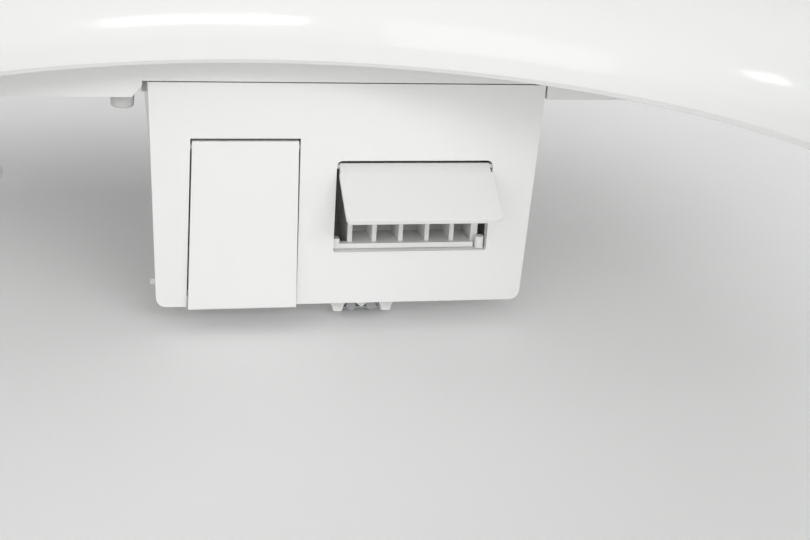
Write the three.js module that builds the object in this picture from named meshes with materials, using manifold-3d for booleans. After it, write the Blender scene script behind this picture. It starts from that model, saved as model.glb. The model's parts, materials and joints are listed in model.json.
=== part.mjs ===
// Electric bidet seat: a rear unit with a nozzle and dryer housing that hangs into the bowl,
// a heated seat ring and a lid on one hinge line, and the bracket that holds it on the rim.
// Millimetres, +Z up, the user sits facing -Y. The origin is on the mounting face, midway
// between the two fixing bolts. The lid stands open and the seat ring is down.
import * as THREE from "three";
import { mergeVertices } from "three/addons/utils/BufferGeometryUtils.js";
import Module from "manifold-3d";

const wasm = await Module();
wasm.setup();

// ---------- driving dimensions ----------
const GAP = 0.3; // between pieces that touch
const BASE_Z = 4.3; // underside of the lower case, above the rim
const FLOOR = 2.7; // lower case floor thickness
const SHELL = 2.6; // casing wall
const PANEL_Y = -100; // front face of the hanging housing
const PANEL = { top: 8.2, bottom: -52.7, left: -25.1, right: 78.9, taper: 2.25, thick: 3, radius: 2.6 };
const DOOR = { left: -14.4, right: 14, top: -6.45, gap: 0.45, thick: 2, hingeY: -98.2, hingeZ: -9 };
const DOOR_PROUD = { top: 0, bottom: 1.9 }; // how far the door stands in front of the panel
const DOOR_FLARE = { left: 0.6, right: 0.4 }; // how much wider the doorway is at its lower end
const VENT = { left: 23.8, right: 66.1, top: -12.5, bottom: -38 };
const FLAP = { hingeY: -98.6, hingeZ: -14.4, length: 19.6, thick: 1.6, open: 60 };
const SEAT = { centreY: -224, bottom: 17, edge: 18.5, crest: 44.5, skin: 2.8 };
const OPENING = { half: 114.5, rear: 107.3, front: 158, rearPower: 2, frontPower: 2 };
const OUTER = { half: 190, rear: 190, front: 239, rearPower: 5, frontPower: 2.2 };
const LID = { margin: 4, skirt: 34, top: 61, skin: 3 };
const HINGE = { y: -2, z: 50, pin: 4, hole: 4.35, lidOpen: 103 };
const LUG = { lidIn: 114, lidOut: 128, seatIn: 130, seatOut: 148, radius: 9 };
const NOTCH = { in: 112, out: 150, back: 14, floor: 30 };
const UNIT = { half: 195, front: -24, back: 98, seam: 14.3 };
const SHELF = { half: 150, top: 13.9, skin: 2.5 };
const BOLT = { x: 77.5, radius: 4, length: 62 };
const NOZZLE = { angle: 30, crossing: -34, setback: 28, tube: 5.5, sleeve: 7, guide: 8.6, length: 146 };
const RACK = { pitchRadius: 5, teeth: 10, pitch: Math.PI, height: 9.6, start: 84 };
const BLOWER = { x: 60, y: 54, radius: 36, bottom: 14.4, top: 41, rotor: 26 };
const FEET = [[-31.1, -92], [124, -72]];
const SCREWS = [[-184, -16], [184, -16], [-176, 84], [176, 84]];
const BUTTON = { radius: 6, ys: [20, 36, 52, 68], z: 40 };
const RELEASE = { y: 52, z: 26, radius: 7 };
const INLET = { x: -172, y: 60, bore: 6.5 };
const CORD = { x: 150, z: 22, bore: 3.2 };

// ---------- materials ----------
const paint = (color, roughness, metalness = 0) =>
  new THREE.MeshStandardMaterial({ color, roughness, metalness });
const GLOSS_WHITE = paint(0xf7f7f5, 0.18);
const SATIN_WHITE = paint(0xf1f1ef, 0.38);
const GREY_PLASTIC = paint(0xa9abad, 0.5);
const DARK_PLASTIC = paint(0x3a3c3f, 0.45);
const RUBBER = paint(0xd9dad8, 0.8);
const BLACK_LENS = paint(0x101214, 0.08);
const STEEL = paint(0xc4c6c8, 0.3, 1);
const BRASS = paint(0xb9974f, 0.3, 1);
const BOARD = paint(0x1f5a36, 0.5);

// ---------- making solids ----------
function solid(geometry) {
  const g = geometry.index ? geometry.toNonIndexed() : geometry.clone();
  g.deleteAttribute("normal");
  g.deleteAttribute("uv");
  const merged = mergeVertices(g, 1e-4);
  return new wasm.Manifold(new wasm.Mesh({
    numProp: 3,
    vertProperties: merged.attributes.position.array,
    triVerts: new Uint32Array(merged.index.array),
  }));
}

function geometryOf(made) {
  const mesh = made.getMesh();
  const g = new THREE.BufferGeometry();
  g.setAttribute("position", new THREE.BufferAttribute(new Float32Array(mesh.vertProperties), 3));
  g.setIndex(new THREE.BufferAttribute(new Uint32Array(mesh.triVerts), 1));
  const flat = g.toNonIndexed();
  flat.computeVertexNormals();
  return flat;
}

const vectors = (list) => list.map((p) => new THREE.Vector2(...p));
const join = (...solids) => solids.reduce((a, b) => a.add(b));
const cut = (body, ...tools) => tools.reduce((a, b) => a.subtract(b), body);

const block = (x, y, z) =>
  solid(new THREE.BoxGeometry(x[1] - x[0], y[1] - y[0], z[1] - z[0])
    .translate((x[0] + x[1]) / 2, (y[0] + y[1]) / 2, (z[0] + z[1]) / 2));

const AXIS_TURN = {
  x: (g) => g.rotateZ(-Math.PI / 2),
  y: (g) => g,
  z: (g) => g.rotateX(Math.PI / 2),
};

// A rod along one axis. "at" gives the other two coordinates in x, y, z order.
function rod(axis, radius, span, at, sides = 24, endRadius = radius) {
  const g = AXIS_TURN[axis](new THREE.CylinderGeometry(endRadius, radius, span[1] - span[0], sides));
  const middle = (span[0] + span[1]) / 2;
  const place = { x: [middle, ...at], y: [at[0], middle, at[1]], z: [...at, middle] }[axis];
  return solid(g.translate(...place));
}

// A polygon with round corners, from points [u, v, radius].
function rounded(points, steps = 5) {
  const out = [];
  points.forEach(([u, v, r = 0], i) => {
    const a = points[(i + points.length - 1) % points.length];
    const b = points[(i + 1) % points.length];
    const corner = new THREE.Vector2(u, v);
    if (!r) return void out.push(corner);
    const toA = new THREE.Vector2(a[0] - u, a[1] - v).normalize();
    const toB = new THREE.Vector2(b[0] - u, b[1] - v).normalize();
    const half = Math.acos(THREE.MathUtils.clamp(toA.dot(toB), -1, 1)) / 2;
    const centre = toA.clone().add(toB).normalize().multiplyScalar(r / Math.sin(half)).add(corner);
    const from = toA.clone().multiplyScalar(r / Math.tan(half)).add(corner).sub(centre);
    const to = toB.clone().multiplyScalar(r / Math.tan(half)).add(corner).sub(centre);
    const sweep = Math.atan2(from.cross(to), from.dot(to));
    for (let k = 0; k <= steps; k++)
      out.push(from.clone().rotateAround(new THREE.Vector2(), (sweep * k) / steps).add(centre));
  });
  return out;
}

const rectangle = (u, v, r = 0) =>
  rounded([[u[0], v[0], r], [u[1], v[0], r], [u[1], v[1], r], [u[0], v[1], r]]);

// A prism along an axis. Its outline is in (y, z) along x, (x, z) along y, (x, y) along z.
function prism(axis, outline, span) {
  const points = axis === "y" ? outline.map((p) => new THREE.Vector2(p.y, p.x)) : outline;
  const g = new THREE.ExtrudeGeometry(new THREE.Shape(points), {
    depth: span[1] - span[0],
    bevelEnabled: false,
  }).translate(0, 0, span[0]);
  const X = new THREE.Vector3(1, 0, 0);
  const Y = new THREE.Vector3(0, 1, 0);
  const Z = new THREE.Vector3(0, 0, 1);
  const basis = { x: [Y, Z, X], y: [Z, X, Y], z: [X, Y, Z] }[axis];
  return solid(g.applyMatrix4(new THREE.Matrix4().makeBasis(...basis)));
}

// A solid through rings of equally many points. Closed rings of rings make a tube or a torus;
// otherwise a fan closes the first and the last ring.
function loft(rings, closed = false) {
  const count = rings[0].length;
  const position = rings.flat().flatMap((p) => [p.x, p.y, p.z]);
  const index = [];
  const rows = closed ? rings.length : rings.length - 1;
  for (let i = 0; i < rows; i++)
    for (let j = 0; j < count; j++) {
      const a = i * count + j;
      const b = i * count + ((j + 1) % count);
      const c = ((i + 1) % rings.length) * count + ((j + 1) % count);
      const d = ((i + 1) % rings.length) * count + j;
      index.push(a, b, c, a, c, d);
    }
  if (!closed)
    for (const [row, flip] of [[0, true], [rings.length - 1, false]]) {
      const centre = new THREE.Vector3();
      rings[row].forEach((p) => centre.addScaledVector(p, 1 / count));
      const hub = position.length / 3;
      position.push(centre.x, centre.y, centre.z);
      for (let j = 0; j < count; j++) {
        const a = row * count + j;
        const b = row * count + ((j + 1) % count);
        index.push(...(flip ? [hub, b, a] : [hub, a, b]));
      }
    }
  const outward = signedVolume(position, index) > 0;
  const faces = outward ? index : index.map((_, k) => index[k - (k % 3) + [0, 2, 1][k % 3]]);
  const g = new THREE.BufferGeometry();
  g.setAttribute("position", new THREE.BufferAttribute(new Float32Array(position), 3));
  g.setIndex(faces);
  return solid(g);
}

function signedVolume(position, index) {
  const at = (k) => new THREE.Vector3(...position.slice(3 * index[k], 3 * index[k] + 3));
  let sum = 0;
  for (let k = 0; k < index.length; k += 3) sum += at(k).dot(at(k + 1).cross(at(k + 2)));
  return sum;
}

// ---------- scene graph ----------
const root = new THREE.Group();

function add(name, made, material, parent = root) {
  const mesh = new THREE.Mesh(geometryOf(made), material);
  mesh.name = name;
  parent.add(mesh);
  return mesh;
}

function turned(y, z, degrees) {
  const group = new THREE.Group();
  group.position.set(0, y, z);
  group.rotation.x = THREE.MathUtils.degToRad(degrees);
  root.add(group);
  return group;
}

// ---------- seat ring and lid outlines ----------
// The distance from the ring's centre to an egg-shaped outline, in direction t.
function reach(shape, t) {
  const back = Math.sin(t) > 0;
  const b = back ? shape.rear : shape.front;
  const n = back ? shape.rearPower : shape.frontPower;
  return (Math.abs(Math.cos(t) / shape.half) ** n + Math.abs(Math.sin(t) / b) ** n) ** (-1 / n);
}

const polar = (t, r, z) => new THREE.Vector3(r * Math.cos(t), SEAT.centreY + r * Math.sin(t), z);

// A point of the ring. "near" is in mm from the opening when positive and from the outer edge
// when negative.
const ringPoint = (t, near, z) => polar(t, reach(near >= 0 ? OPENING : OUTER, t) + near, z);

const RING_STEPS = 40;
const around = (make) =>
  Array.from({ length: RING_STEPS }, (_, k) => make(((k + 0.5) / RING_STEPS) * 2 * Math.PI));

// The ring's upper surface, "depth" under its outer face, at shares of the ring's width.
const seatDome = (share) => (1 - Math.abs(2 * share - 1) ** 3.2) ** (1 / 2.2);
function seatSkin(t, depth, shares) {
  const inner = reach(OPENING, t) + depth;
  const outer = reach(OUTER, t) - depth;
  const rise = SEAT.crest - SEAT.edge - depth;
  return shares.map((s) => polar(t, inner + (outer - inner) * s, SEAT.edge + rise * seatDome(s)));
}
const SEAT_SHARES = [0, 0.03, 0.1, 0.22, 0.4, 0.6, 0.78, 0.9, 0.97, 1];

// ---------- front panel of the hanging housing ----------
// A boss with a blind hole for a hinge pin, beside an opening's edge.
function socket(edge, side, y, z) {
  const x = side < 0 ? [edge - 2.8, edge] : [edge, edge + 2.8];
  const hole = side < 0 ? [edge - 1.9, edge + 1] : [edge - 1, edge + 1.9];
  return {
    boss: block(x, [PANEL_Y + 1.5, y + 2.6], [z - 2.4, z + 2.2]),
    hole: rod("x", 1.2, hole, [y, z], 12),
  };
}

// The doorway's outline, or the door's when "inset" under it: a little wider at its lower end.
function doorOutline(inset, top, bottom) {
  const wide = inset * 0.7;
  return vectors([[DOOR.left + inset, top], [DOOR.left - DOOR_FLARE.left + wide, bottom],
    [DOOR.right + DOOR_FLARE.right - wide, bottom], [DOOR.right - inset, top]]);
}

function frontPanel() {
  const { top, bottom, left, right, taper, thick, radius } = PANEL;
  const face = rounded([[left, top], [left + taper, bottom, radius],
    [right - taper, bottom, radius], [right, top]]);
  const back = PANEL_Y + thick;
  const doorSpan = [DOOR.left, DOOR.right];
  const doorway = prism("y", doorOutline(0, DOOR.top, bottom - 1), [PANEL_Y - 1, back + 2]);
  const relief = prism("x", vectors([[PANEL_Y, DOOR.top], [back + 1, DOOR.top + thick + 1],
    [back + 1, DOOR.top - 1], [PANEL_Y, DOOR.top - 1]]), doorSpan);
  const ventEdge = rounded([[VENT.left, VENT.bottom, 0.6], [VENT.right, VENT.bottom, 0.6],
    [VENT.right, VENT.top, 1.5], [VENT.left, VENT.top, 1.5]]);
  const vent = prism("y", ventEdge, [PANEL_Y - 1, back + 1]);
  const sockets = [
    socket(DOOR.left, -1, DOOR.hingeY, DOOR.hingeZ),
    socket(DOOR.right, 1, DOOR.hingeY, DOOR.hingeZ),
    socket(VENT.left, -1, FLAP.hingeY, FLAP.hingeZ),
    socket(VENT.right, 1, FLAP.hingeY, FLAP.hingeZ),
  ];
  const plate = join(prism("y", face, [PANEL_Y, back]), ...sockets.map((s) => s.boss));
  return cut(plate, doorway, relief, vent, ...sockets.map((s) => s.hole));
}

function nozzleDoor() {
  const x = [DOOR.left + DOOR.gap, DOOR.right - DOOR.gap];
  const upper = { y: PANEL_Y - DOOR_PROUD.top, z: DOOR.top - 0.7 };
  const lower = { y: PANEL_Y - DOOR_PROUD.bottom, z: PANEL.bottom - 0.3 };
  const side = rounded([[upper.y, upper.z, 0.4], [lower.y, lower.z, 0.5],
    [lower.y + DOOR.thick, lower.z], [upper.y + DOOR.thick, upper.z]], 4);
  const wider = [x[0] - 2, x[1] + 2];
  const leaf = prism("x", side, wider)
    .intersect(prism("y", doorOutline(DOOR.gap, upper.z + 1, lower.z - 1), [PANEL_Y - 5, PANEL_Y + 5]));
  const at = [DOOR.hingeY, DOOR.hingeZ];
  const pins = rod("x", 0.9, [x[0] - 1.8, x[1] + 1.8], at, 12);
  return join(leaf, pins, rod("x", 1.5, x, at, 16));
}

// The flap hangs down from its hinge in its own frame. Its upper corners are notched.
function dryerFlap() {
  const x = [VENT.left + 0.5, VENT.right - 0.5];
  const half = FLAP.thick / 2;
  const notch = { width: 0.3, top: 0.45, bottom: -3 };
  const edge = rounded([[x[0] + notch.width, notch.top], [x[0] + notch.width, notch.bottom],
    [x[0], notch.bottom], [x[0], -FLAP.length, 1.6], [x[1], -FLAP.length, 1.6],
    [x[1], notch.bottom], [x[1] - notch.width, notch.bottom], [x[1] - notch.width, notch.top]]);
  return join(prism("y", edge, [-half, half]), rod("x", 0.6, [x[0] - 2, x[1] + 2], [0, 0], 12));
}

// Louvre box behind the vent, with a sill along the vent's lower edge, a lump at its left end
// and a pin at its right end.
function dryerGrille() {
  const y = [PANEL_Y + 4, PANEL_Y + 13];
  const sillY = [PANEL_Y + 2.3, PANEL_Y + 4.5];
  const mouth = block([29.5, 62.5], [y[0] - 1, y[1] + 1], [-36.6, -17]);
  const frame = cut(block([28.2, 64.4], y, [-38.4, -15]), mouth);
  const vanes = [35.6, 42.9, 50.2, 57.1].map((x) => block([x - 0.6, x + 0.6], y, [-37.4, -16]));
  const flange = block([VENT.left - 1, VENT.right + 1], [PANEL_Y + 3.3, PANEL_Y + 6], [-41, -38.1]);
  const sill = block([24.1, 62.9], sillY, [-37.8, -36.4]);
  const lump = block([24.1, 25.8], sillY, [-37.7, -35]);
  const pin = rod("z", 1.25, [-37.9, -34.6], [64.55, sillY[0]], 16);
  const stem = block([63.6, 65.4], [sillY[0], PANEL_Y + 4.6], [-37.9, -36.4]);
  return join(frame, flange, sill, lump, pin, stem, ...vanes);
}

// ---------- hanging housing ----------
function nozzleHousing() {
  const front = PANEL_Y + PANEL.thick + GAP;
  const outer = prism("x", vectors([[front, 4], [front, -51], [-86, -51], [-76, -34],
    [-18, -0.5], [-18, 4]]), [-23.6, 77.4]);
  const inner = vectors([[front - 1, 5], [front - 1, -49.2], [-87.2, -49.2], [-77.3, -32.3],
    [-19.8, 0.9], [-19.8, 5]]);
  const sides = prism("y", vectors([[-23.6, 4], [-21, -51], [74.8, -51], [77.4, 4]]), [-100, 0]);
  const nozzleBay = prism("x", inner, [-19.2, 17.2]);
  const dryerBay = prism("x", inner, [19, 73]);
  const tab = block([-24, -20], [-91, -89.6], [-49.6, -48.2]);
  const drain = (x, y) => rod("z", 1.5, [-53, -48], [x, y], 12);
  const guideGap = block([-15, 15], [-21, -17], [1.4, 5]);
  return cut(join(outer.intersect(sides), tab), nozzleBay, dryerBay, guideGap,
    drain(0, -92), drain(33.8, -91));
}

// Two flared lugs and a pointed rib under a mounting plate.
const SPOUT = { left: 26.9, right: 40.4, rib: 33.5, top: -52.3, flare: -55.2, neck: -56.2, low: -57.6 };

function drainSpout() {
  const depth = [-94, -87];
  const { top, flare, neck, low } = SPOUT;
  const plate = block([23.4, 43.8], depth, [-52.6, -51.3]);
  const lug = (x) => prism("y", rounded([[x - 2.2, top], [x + 2.2, top], [x + 2, flare, 0.5],
    [x + 1.5, neck, 0.5], [x + 1.3, low, 0.7], [x - 1.3, low, 0.7], [x - 1.5, neck, 0.5],
    [x - 2, flare, 0.5]], 4), depth);
  const rib = prism("y", rounded([[SPOUT.rib - 2.2, top], [SPOUT.rib + 2.2, top],
    [SPOUT.rib + 1.7, flare], [SPOUT.rib, neck - 0.2, 0.3], [SPOUT.rib - 1.7, flare]], 3), depth);
  const drain = rod("z", 1.2, [-56, -50], [SPOUT.rib, -91], 12);
  return cut(join(plate, lug(SPOUT.left), lug(SPOUT.right), rib), drain);
}

// A bar under the rib with a bead on each side of it.
function drainStrainer() {
  const bar = block([28.8, 38.5], [-92.5, -87.6], [-57.4, -56.8]);
  const beads = [30.7, 36.4].map((x) => rod("y", 1.35, [-93.4, -87.4], [x, -56.2], 20));
  return join(bar, ...beads);
}

// ---------- casings ----------
function lowerCase() {
  const plan = rounded([[-UNIT.half, UNIT.front, 14], [-SHELF.half, UNIT.front],
    [-SHELF.half, PANEL_Y, 10], [SHELF.half, PANEL_Y, 10], [SHELF.half, UNIT.front],
    [UNIT.half, UNIT.front, 14], [UNIT.half, UNIT.back, 26], [-UNIT.half, UNIT.back, 26]]);
  const body = prism("z", plan, [BASE_Z, UNIT.seam - GAP]);
  const shelfTop = block([-SHELF.half - 1, SHELF.half + 1], [PANEL_Y - 1, UNIT.front], [SHELF.top, 30]);
  const room = { x: UNIT.half - SHELL, front: UNIT.front + SHELL, back: UNIT.back - SHELL };
  const tray = prism("z", rounded([[-room.x, room.front, 14 - SHELL], [room.x, room.front, 14 - SHELL],
    [room.x, room.back, 26 - SHELL], [-room.x, room.back, 26 - SHELL]]), [BASE_Z + FLOOR, 20]);
  const shelfRoom = block([-SHELF.half + SHELL, SHELF.half - SHELL],
    [PANEL_Y + SHELL, UNIT.front + 4], [BASE_Z + FLOOR, SHELF.top - SHELF.skin]);
  const doorEdge = [PANEL.left - 1.4, PANEL.right + 0.5];
  const doorway = block(doorEdge, [PANEL_Y - 1, PANEL_Y + PANEL.thick + GAP + 2.5],
    [0, PANEL.top + GAP]);
  const chamfer = prism("y", vectors([[doorEdge[0] + 0.1, BASE_Z - 0.1],
    [doorEdge[0] + 0.1, BASE_Z + 3.2], [doorEdge[0] - 2.6, BASE_Z - 0.1]]),
  [PANEL_Y - 1, PANEL_Y + SHELL + 0.1]);
  const well = block([-25, 79], [PANEL_Y + 4, -15.5], [0, BASE_Z + FLOOR + 1]);
  const guideSlot = block([-14.6, 14.6], [-50, 5], [0, 30]);
  const ductSlot = block([24, 70], [-48, -10], [0, 30]);
  const boltX = [-BOLT.x, BOLT.x];
  const lifts = boltX.map((x) => block([x - 15, x + 15], [-14, 30], [BASE_Z, 13.9]));
  const rooms = boltX.map((x) => block([x - 13, x + 13], [-12, 28], [0, 11.6]));
  const inlet = rod("z", 11.4, [0, 12], [INLET.x, INLET.y]);
  const screws = SCREWS.map((at) => rod("z", 1.9, [0, 12], at, 12));
  const lifted = join(cut(body, shelfTop, tray, shelfRoom), ...lifts);
  return cut(lifted, ...rooms, doorway, chamfer, well, guideSlot, ductSlot, inlet, ...screws);
}

// The rear unit's solid form, "wall" under its outer face.
function unitForm(wall) {
  const front = UNIT.front + wall;
  const back = UNIT.back - wall;
  const floor = UNIT.seam - wall;
  const half = UNIT.half - wall;
  const side = rounded([[front, floor], [front, 58 - wall, 8], [-10 + wall * 0.4, 62.5 - wall, 6],
    [20 + wall * 0.6, 66 - wall, 10], [40 + wall * 0.6, 94 - wall, 16], [back, 98 - wall, 14 - wall],
    [back, floor]], 6);
  const plan = rounded([[-half, front, 14 - wall], [half, front, 14 - wall],
    [half, back, 26 - wall], [-half, back, 26 - wall]], 6);
  const face = rounded([[-half, 0], [-half, 100 - wall, 20 - wall], [half, 100 - wall, 20 - wall],
    [half, 0]], 6);
  return prism("x", side, [-half, half])
    .intersect(prism("z", plan, [0, 120]))
    .intersect(prism("y", face, [-60, 120]));
}

function hingePocket(side, grow) {
  const x = [side * NOTCH.in - side * grow, side * NOTCH.out + side * grow].sort((a, b) => a - b);
  return block(x, [UNIT.front - 1, NOTCH.back + grow], [NOTCH.floor - grow, 120]);
}

function upperCase() {
  const outer = cut(unitForm(0), block([-300, 300], [-300, 300], [0, UNIT.seam]));
  const bosses = SCREWS.map((at) => join(
    rod("z", 4.2, [BASE_Z + FLOOR + GAP, UNIT.seam + 4], at, 12),
    rod("z", 4.2, [UNIT.seam + 1, 97], at, 12).intersect(unitForm(0.4))));
  const pockets = [-1, 1].map((side) => hingePocket(side, 2.2).intersect(outer));
  const shell = join(cut(outer, unitForm(SHELL)), ...pockets, ...bosses);
  const holes = [
    ...[-1, 1].map((side) => hingePocket(side, 0)),
    rod("x", HINGE.hole, [-160, 160], [HINGE.y, HINGE.z]),
    ...BUTTON.ys.map((y) => rod("x", BUTTON.radius + GAP, [180, 200], [y, BUTTON.z], 20)),
    rod("x", RELEASE.radius + 0.4, [-200, -180], [RELEASE.y, RELEASE.z], 20),
    block([-200, -180], [-10.4, 26.4], [15.7, 40.3]), // odour cartridge
    block([70, 96], [-30, -15], [44, 54]), // occupancy lens
    block([-12, 12], [-26, -20], [10, 26]), // nozzle guide
    block([24, 68], [-26, -20], [10, 27]), // dryer duct
    rod("y", 8.4, [90, 100], [CORD.x, CORD.z]),
    ...SCREWS.map((at) => rod("z", 1.9, [5, 21], at, 12)),
  ];
  return cut(shell, ...holes);
}

// ---------- seat ring ----------
// A hinge lug in (y, z): an eye round the hinge line with an arm to the piece it carries.
function lugSolid(x, armEnd, armTop, armBottom) {
  const arm = prism("x", vectors([[HINGE.y, HINGE.z + LUG.radius - 1], [armEnd, armTop],
    [armEnd, armBottom], [HINGE.y, HINGE.z - LUG.radius + 1]]), x);
  return join(arm, rod("x", LUG.radius, x, [HINGE.y, HINGE.z]));
}

const mirrored = (x) => [[-x[1], -x[0]], x];
const pinBore = (x) => rod("x", HINGE.hole, [x[0] - 1, x[1] + 1], [HINGE.y, HINGE.z]);

function seatUpper() {
  const ring = loft(around((t) =>
    [...seatSkin(t, 0, SEAT_SHARES), ...seatSkin(t, SEAT.skin, SEAT_SHARES).reverse()]), true);
  const spans = mirrored([LUG.seatIn, LUG.seatOut]);
  const lugs = spans.map((x) => lugSolid(x, -48, 41.5, 33));
  return cut(join(ring, ...lugs), ...spans.map(pinBore));
}

function seatLower() {
  const rib = SEAT.skin + 1.2;
  const seam = SEAT.edge - GAP;
  const wall = 1.6;
  const high = seam + 2.2;
  const outside = -1e-6; // just on the outer edge's side of zero
  const profile = [[0, SEAT.bottom], [outside, SEAT.bottom], [outside, seam], [-rib, seam],
    [-rib, high], [-rib - wall, high], [-rib - wall, seam], [rib + wall, seam],
    [rib + wall, high], [rib, high], [rib, seam], [0, seam]];
  return loft(around((t) => profile.map(([near, z]) => ringPoint(t, near, z))), true);
}

function seatHeater() {
  const shares = SEAT_SHARES.slice(3, 7);
  return loft(around((t) => [...seatSkin(t, SEAT.skin + 0.5, shares),
    ...seatSkin(t, SEAT.skin + 1.3, shares).reverse()]), true);
}

// ---------- lid, in its closed place about the hinge line ----------
function lidShell() {
  const shares = [0.35, 0.65, 0.82, 0.92, 0.97, 0.99, 1];
  const dome = (share) => (1 - share ** 8) ** 0.4;
  const ring = (depth) => (share) => around((t) => polar(t,
    (reach(OUTER, t) + LID.margin - depth) * share,
    LID.skirt + (LID.top - LID.skirt - depth) * dome(share)));
  const shell = loft([...shares.map(ring(0)), ...shares.map(ring(LID.skin)).reverse()]);
  const rearGap = block([-260, 260], [-70, 0], [20, 49.5]);
  const spans = mirrored([LUG.lidIn, LUG.lidOut]);
  const lugs = spans.map((x) => lugSolid(x, -46, 53.4, 49.8));
  return cut(join(cut(shell, rearGap), ...lugs), ...spans.map(pinBore));
}

const lidBumper = (x) => rod("z", 5, [46.2, 53.8], [x, -380], 16, 5.8);

// ---------- nozzle, in its own frame: it moves along -y, and its tip is at the origin ----------
const tube = (outer, inner, span) =>
  cut(rod("y", outer, span, [0, 0]), rod("y", inner, [span[0] - 1, span[1] + 1], [0, 0]));

function nozzleTip() {
  const { tube: r } = NOZZLE;
  const profile = [[0, 0], [2.2, 0.3], [4, 1.3], [5.1, 3], [r, 5.2], [r, 22], [2.6, 22], [2.6, 27],
    [0, 27]];
  const body = solid(new THREE.LatheGeometry(vectors(profile), 24));
  const jets = [[0, 7], [-1.6, 13], [1.6, 13], [0, 14.6]].map((at) => rod("z", 0.5, [3.2, 8], at, 8));
  const flat = block([-8, 8], [3.6, 18], [4.7, 8]);
  return cut(body, flat, ...jets);
}

function nozzleSleeve() {
  const span = [6, NOZZLE.length - 4];
  const rackSpan = [RACK.start, NOZZLE.length - 4];
  const foot = RACK.height - 0.9;
  const top = RACK.height + 0.6;
  const teeth = [];
  for (let y = rackSpan[0] + RACK.pitch / 2; y < rackSpan[1] - 1; y += RACK.pitch)
    teeth.push(prism("x", vectors([[y - 0.75, foot - 0.3], [y + 0.75, foot - 0.3], [y + 0.35, top],
      [y - 0.35, top]]), [-1.4, 1.4]));
  const bar = block([-1.4, 1.4], rackSpan, [NOZZLE.sleeve - 0.6, foot]);
  return join(tube(NOZZLE.sleeve, NOZZLE.tube + 0.4, span), bar, ...teeth);
}

function nozzleGuide() {
  const span = [9, NOZZLE.length];
  const slot = block([-2.2, 2.2], [0, NOZZLE.length + 1], [4, 12]);
  const feet = block([-14, 14], [60, 72], [-NOZZLE.guide, -NOZZLE.guide + 2.4]);
  const bore = rod("y", NOZZLE.sleeve + 0.4, [0, NOZZLE.length + 1], [0, 0]);
  return cut(join(rod("y", NOZZLE.guide, span, [0, 0]), feet), bore, slot);
}

// A gap of the pinion faces the rack's second tooth.
const PINION_Y = RACK.start + RACK.pitch * 1.5;
const PINION_Z = RACK.height + RACK.pitchRadius;

function nozzlePinion() {
  const teeth = [];
  for (let k = 0; k < RACK.teeth; k++) {
    const angle = -Math.PI / 2 + ((k + 0.5) * 2 * Math.PI) / RACK.teeth;
    const place = (radial, across) => new THREE.Vector2(
      PINION_Y + radial * Math.cos(angle) - across * Math.sin(angle),
      PINION_Z + radial * Math.sin(angle) + across * Math.cos(angle));
    teeth.push(prism("x", [place(3.6, -0.75), place(3.6, 0.75), place(5.5, 0.3), place(5.5, -0.3)],
      [-1.3, 1.3]));
  }
  const hub = rod("x", RACK.pitchRadius - 1.1, [-1.3, 1.3], [PINION_Y, PINION_Z], 20);
  const shaft = rod("x", 1.2, [1.2, 12], [PINION_Y, PINION_Z], 12);
  return join(hub, shaft, ...teeth);
}

function nozzleMotor() {
  const can = rod("x", 9, [9.6, 22], [PINION_Y, PINION_Z], 24);
  const bore = rod("x", 1.5, [9, 12.6], [PINION_Y, PINION_Z], 12);
  return cut(can, bore);
}

// ---------- dryer ----------
function dryerDuct() {
  const stations = [[-86.6, 28.4, 64, -38, -15], [-77, 27.6, 65, -30.4, -10.5], [-60, 27, 66, -20.6, -1],
    [-34, 26.6, 66, -4.6, 12], [-20, 26, 64, 6.4, 23], [-6.6, 26, 61.4, 15, 31.4]];
  const section = ([y, x0, x1, z0, z1], inset) => [[x0 + inset, z0 + inset], [x1 - inset, z0 + inset],
    [x1 - inset, z1 - inset], [x0 + inset, z1 - inset]].map(([x, z]) => new THREE.Vector3(x, y, z));
  const outer = stations.map((s) => section(s, 0));
  const inner = stations.map((s) => section(s, 1.4)).reverse();
  return loft([...outer, ...inner], true);
}

function blowerCase() {
  const { x, y, radius, bottom, top } = BLOWER;
  const outlet = (inset, front) =>
    block([24.6 + inset, 63 - inset], [front, y], [bottom + inset, 32 - inset]);
  const outer = join(rod("z", radius, [bottom, top], [x, y], 36), outlet(0, -6));
  const inner = join(rod("z", radius - 2, [bottom + 2, top - 2], [x, y], 36), outlet(2, -7));
  const intake = rod("z", 21, [top - 3, top + 1], [x, y], 28);
  const hub = rod("z", 10, [top - 2, top], [x, y], 20);
  const spokes = [0, 1, 2].map((k) => solid(new THREE.BoxGeometry(22, 3, 2).translate(12, 0, 0)
    .rotateZ((k * 2 * Math.PI) / 3 + 0.5).translate(x, y, top - 1)));
  const shaftHole = rod("z", 2.6, [top - 5, top + 5], [x, y], 12);
  return cut(join(cut(outer, inner, intake), hub, ...spokes), shaftHole);
}

function blowerRotor() {
  const { x, y, bottom, top, rotor } = BLOWER;
  const z = [bottom + 4, top - 5];
  const disc = rod("z", rotor, [z[0], z[0] + 1.6], [x, y], 28);
  const shaft = rod("z", 2, [z[0], top + 8], [x, y], 12);
  const hub = rod("z", 6, [z[0], z[0] + 9], [x, y], 16);
  const count = 14;
  const vanes = Array.from({ length: count }, (_, k) =>
    solid(new THREE.BoxGeometry(8, 1.2, z[1] - z[0])
      .rotateZ(0.6).translate(rotor - 4.4, 0, (z[0] + z[1]) / 2)
      .rotateZ((k * 2 * Math.PI) / count).translate(x, y, 0)));
  return join(disc, shaft, hub, ...vanes);
}

function blowerMotor() {
  const { x, y, top } = BLOWER;
  const can = rod("z", 12, [top + GAP, top + 20], [x, y], 24);
  return cut(can, rod("z", 2.4, [top, top + 10], [x, y], 12));
}

function dryerHeater() {
  const slots = [0, 1, 2, 3, 4].map((k) => block([32.4 + k * 5, 35.4 + k * 5], [0, 30], [18, 28.4]));
  return cut(block([30, 58], [4, 14], [16.8, 29.4]), ...slots);
}

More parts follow.
